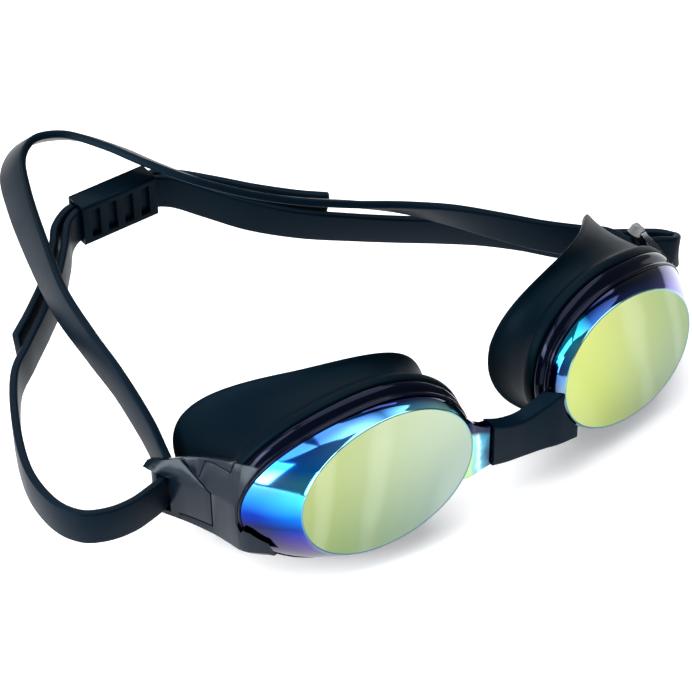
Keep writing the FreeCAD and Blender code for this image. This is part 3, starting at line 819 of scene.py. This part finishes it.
def armMirror():
    f = Finish("armMirror")
    x, _, z = f.parts(f.place())
    swirl = f.noise(260.0, 1.5)
    along = f.span(x + (swirl - 0.5) * 0.004, -16.5 * mm, -6.2 * mm)
    # painted reflection along the arm, with a painted bright glint
    colour = f.ramp(along, [(share, paint(*tone)) for share, tone in armTintAndReflections.items()])
    topEdge = f.span(z + x * 0.55, -4.3 * mm, -2.8 * mm)
    f.set(Base_Color=f.mix(topEdge, colour, paint(16, 24, 60)), Metallic=1.0, Roughness=0.1)
    return f.material


def glossPlastic(name, low, high, roughness, grain, specular, tint):
    f = Finish(name)
    cloud = f.noise(70.0, 3.0)
    fine = f.noise(grain, 2.0, 0.6)
    f.set(Base_Color=f.mix(cloud, paint(*low), paint(*high)), Roughness=cloud * 0.05 + roughness,
          Normal=f.bump(fine, 0.05, 0.05))
    f.shader.inputs["Specular IOR Level"].default_value = specular
    f.shader.inputs["Specular Tint"].default_value = (*tint, 1)
    return f.material


def silicone(name, low, high, roughness, specular):
    f = Finish(name)
    cloud = f.noise(34.0, 4.0, 0.55)
    fine = f.noise(2400.0, 3.0, 0.6)
    bloom = f.span(f.noise(160.0, 4.0, 0.7), 0.45, 0.75)
    f.set(Base_Color=f.mix(cloud, paint(*low), paint(*high)),
          Roughness=cloud * 0.1 + bloom * 0.05 + roughness, Normal=f.bump(fine, 0.18, 0.04))
    f.shader.inputs["Specular IOR Level"].default_value = specular
    f.shader.inputs["Specular Tint"].default_value = (0.35, 0.7, 1.0, 1)
    return f.material


frameGloss = glossPlastic("frameGloss", low=(1, 3, 12), high=(3, 6, 20), roughness=0.07,
                          grain=900.0, specular=0.15, tint=(0.5, 0.6, 1.0))
buckleGloss = glossPlastic("buckleGloss", low=(2, 9, 19), high=(6, 16, 28), roughness=0.15,
                           grain=1200.0, specular=0.2, tint=(0.75, 0.88, 1.0))
pinPlastic = glossPlastic("pinPlastic", low=(6, 8, 12), high=(16, 18, 22), roughness=0.3,
                          grain=1500.0, specular=0.2, tint=(0.7, 0.85, 1.0))
gasketRubber = silicone("gasketRubber", low=(0, 8, 15), high=(3, 13, 22), roughness=0.42,
                        specular=0.05)
bridgeRubber = silicone("bridgeRubber", low=(0, 13, 24), high=(4, 20, 34), roughness=0.36,
                        specular=0.06)
strapRubber = silicone("strapRubber", low=(1, 9, 18), high=(5, 15, 26), roughness=0.38,
                       specular=0.08)
clipPlastic = glossPlastic("clipPlastic", low=(2, 12, 20), high=(5, 18, 28), roughness=0.38,
                           grain=1600.0, specular=0.05, tint=(0.35, 0.7, 1.0))
print("materials ready")

# making and placing the pieces

cupOf = {"right": "right_cup", "left": "left_cup"}


def settle(piece, body, slot, *nodes):
    if body:
        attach(piece, body)
    if nodes:
        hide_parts(*nodes)
    return piece


rimRings, rimBack = rimLoops()
for side in ("right", "left"):
    lens = wear(makeLens(side), mirrorFace(side), mirrorLip(), mirrorSide(side), lensInside())
    settle(lens, cupOf[side], "mirrored_lens", "lens_" + side)
    rim = loft("rim" + side.title(), sideOf(side, placed(rounded(rimRings))), closed=True)
    settle(wear(smooth(rim, 50), frameGloss), cupOf[side], "frame_black", "frame_" + side)
    gasketRings = placed(rounded(gasketLoops(rimBack)))
    gasket = loft("gasket" + side.title(), sideOf(side, gasketRings), closed=True)
    settle(wear(smooth(gasket, 60), gasketRubber), cupOf[side], "gasket_navy", "gasket_" + side)
    settle(wear(makeLug(side), buckleGloss), cupOf[side], "frame_black")
    settle(wear(makeTab(side), buckleGloss), side + "_tab", "buckle_slate", "release_tab_" + side)
    settle(wear(makeBuckle(side), buckleGloss), side + "_buckle", "buckle_slate", "buckle_" + side)
    wear(bpy.data.objects["hinge_pin_" + side], pinPlastic)
print("eye cups, lugs and buckles made")

wall, inset = lensShape["wall"], lensShape["wall"] + lensShape["innerGap"]
insideLens = [drawn(faceLoop, wall, wall), drawn(sideLoop, inset), drawn(sideLoop, inset, 12.0)]
armFinish = {"right": armMirror(), "left": lensInside()}
for side in ("right", "left"):
    arm = loft("noseArm" + side.title(), stationRings(bridge[side + "Arm"], bridge[side + "Corner"]))
    carve(arm, "DIFFERENCE", loft("cutter", sideOf(side, placed(insideLens))))
    settle(wear(smooth(arm, 40), armFinish[side]), cupOf[side], "mirrored_lens")
sleeve = loft("bridgeSleeve", stationRings(bridge["sleeve"], bridge["corner"]))
clear = bridge["clear"]
besideLens = [drawn(faceLoop, -clear, -6.0), drawn(faceLoop, -clear), drawn(sideLoop, -clear),
              drawn(rimBack, -clear), drawn(rimBack, -clear, 9.0)]
carve(sleeve, "DIFFERENCE", loft("cutter", sideOf("left", placed(besideLens))))
smooth(sleeve, 40)
settle(wear(sleeve, bridgeRubber), None, "bridge_navy", "nose_bridge")
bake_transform(sleeve)
print("nose bridge made")

lowerCount = len(strap["lowerRight"])
upperCount = lowerCount + len(strap["upperRight"])
overCount = upperCount + len(strap["upperLeft"])
endCount = len(wholeStrap) - 1
# name: first and last point, the two bodies, where the bend starts and ends, and the node
strapRuns = {
    "strapLowerRight": (
        0, 11, "right_cup", None, None, None, ["strap_lower_right"]),
    "strapBesideBuckle": (
        11, lowerCount, "right_buckle", "right_cup", (-72, 32, -8), (-88, 44, -8), []),
    "strapUpperRight": (
        lowerCount, upperCount, "right_buckle", "right_cup", (-65, 37, -8), (-64, 62, 4),
        ["strap_upper_right"]),
    "strapOverBack": (
        upperCount, overCount - 6, "right_cup", "left_cup", (-20, 108, 12), (46, 54, -2),
        ["strap_upper_left"]),
    "strapToBuckle": (
        overCount - 6, overCount, "left_cup", "left_buckle", (52, 50, -4), (64, 38.5, -8), []),
    "strapFromBuckle": (
        overCount, overCount + 7, "left_buckle", "left_cup", (70, 35, -10), (61, 51, -13), []),
    "strapLowerLeft": (
        overCount + 7, endCount, "left_cup", "right_cup", (54, 58, -12), (-6, 101, 0),
        ["strap_lower_left"]),
}
for name, (first, last, bodyA, bodyB, start, end, nodes) in strapRuns.items():
    piece = wear(bandPiece(name, wholeStrap, first, last), strapRubber)
    settle(piece, None if bodyB else bodyA, "strap_slate", *nodes)
    if bodyB:
        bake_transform(piece)
for name, key, inside, node in (("strapTailRight", "tailRight", 1, "strap_tail_right"),
                                ("strapTailLeft", "tailLeft", -1, "strap_tail_left")):
    route = strap[key]
    piece = bandPiece(name, route, 0, len(route) - 1, inside, roundEnd=True)
    settle(wear(piece, strapRubber), "right_cup", "strap_slate", node)
print("strap made")

clipShape = {"bevel": 0.3}
source = bpy.data.objects["rear_clip"]
clearSelection()
clip = bpy.data.objects.new("rearClip", source.data.copy())
scene.collection.objects.link(clip)
crisp(clip, clipShape["bevel"])
settle(wear(clip, clipPlastic), "clip", "clip_black", "rear_clip")
print("rear clip made")

# floor, lights and camera

stage = {"floorSize": 6.0, "floorDrop": 0.2, "floorLow": (246, 247, 248), "floorHigh": (250, 250, 250),
         "floorGlow": 0.3, "world": (0.93, 0.96, 1.0), "worldStrength": 0.3}
clearSelection()
floorPlace = (0, 0, cadBox[0][2] - stage["floorDrop"] * mm)
bpy.ops.mesh.primitive_plane_add(size=stage["floorSize"], location=floorPlace)
floor = bpy.context.object
floor.name = "floor"
ground = Finish("floorPaper")
grain = ground.noise(30.0)
ground.set(Base_Color=ground.mix(grain, paint(*stage["floorLow"]), paint(*stage["floorHigh"])),
           Roughness=0.8)
ground.shader.inputs["Emission Color"].default_value = (1, 1, 1, 1)
ground.shader.inputs["Emission Strength"].default_value = stage["floorGlow"]
wear(floor, ground.material)

world = bpy.data.worlds.new("studio")
scene.world = world
scene.view_settings.view_transform = "Standard"
world.use_nodes = True
sky = world.node_tree.nodes["Background"]
sky.inputs["Color"].default_value = (*stage["world"], 1.0)
sky.inputs["Strength"].default_value = stage["worldStrength"]

# name: place, aim, width and height in metres, then watts
softBoxes = {
    "overhead": ((0.1, 0.2, 1.5), (0, 0.03, 0), 1.6, 1.6, 28),
    "leftWindow": ((-0.9, 0.25, 0.75), (0, 0.03, 0), 0.5, 0.8, 7),
    "leftPanel": ((-0.9, 0.1, 0.27), (-0.07, 0.03, 0), 0.5, 0.5, 10),
    "backStrip": ((0.2, 1.0, 0.7), (0, 0.05, 0), 1.1, 0.2, 4),
}
for name, (place, aim, width, height, watts) in softBoxes.items():
    light = bpy.data.lights.new(name, "AREA")
    light.shape = "RECTANGLE"
    light.size, light.size_y = width, height
    light.energy = watts
    box = bpy.data.objects.new(name, light)
    scene.collection.objects.link(box)
    box.location = place
    box.rotation_euler = (Vector(aim) - Vector(place)).to_track_quat("-Z", "Y").to_euler()

# place in mm and the camera's own axes
view = {"place": (-280.1, -331.4, 386.3), "right": (0.8072, -0.5901, -0.0136),
        "up": (0.3890, 0.5145, 0.7642), "forward": (0.4440, 0.6221, -0.6449),
        "lens": 139.4, "film": 36.0}
camera = bpy.data.cameras.new("camera")
camera.lens, camera.sensor_width = view["lens"], view["film"]
camera.clip_start, camera.clip_end = 0.01, 20
eyePiece = bpy.data.objects.new("camera", camera)
scene.collection.objects.link(eyePiece)
columns = (Vector(view["right"]), Vector(view["up"]), -Vector(view["forward"]))
turn = Matrix(columns).transposed().to_4x4()
eyePiece.matrix_world = Matrix.Translation(Vector(view["place"]) * mm) @ turn
scene.camera = eyePiece
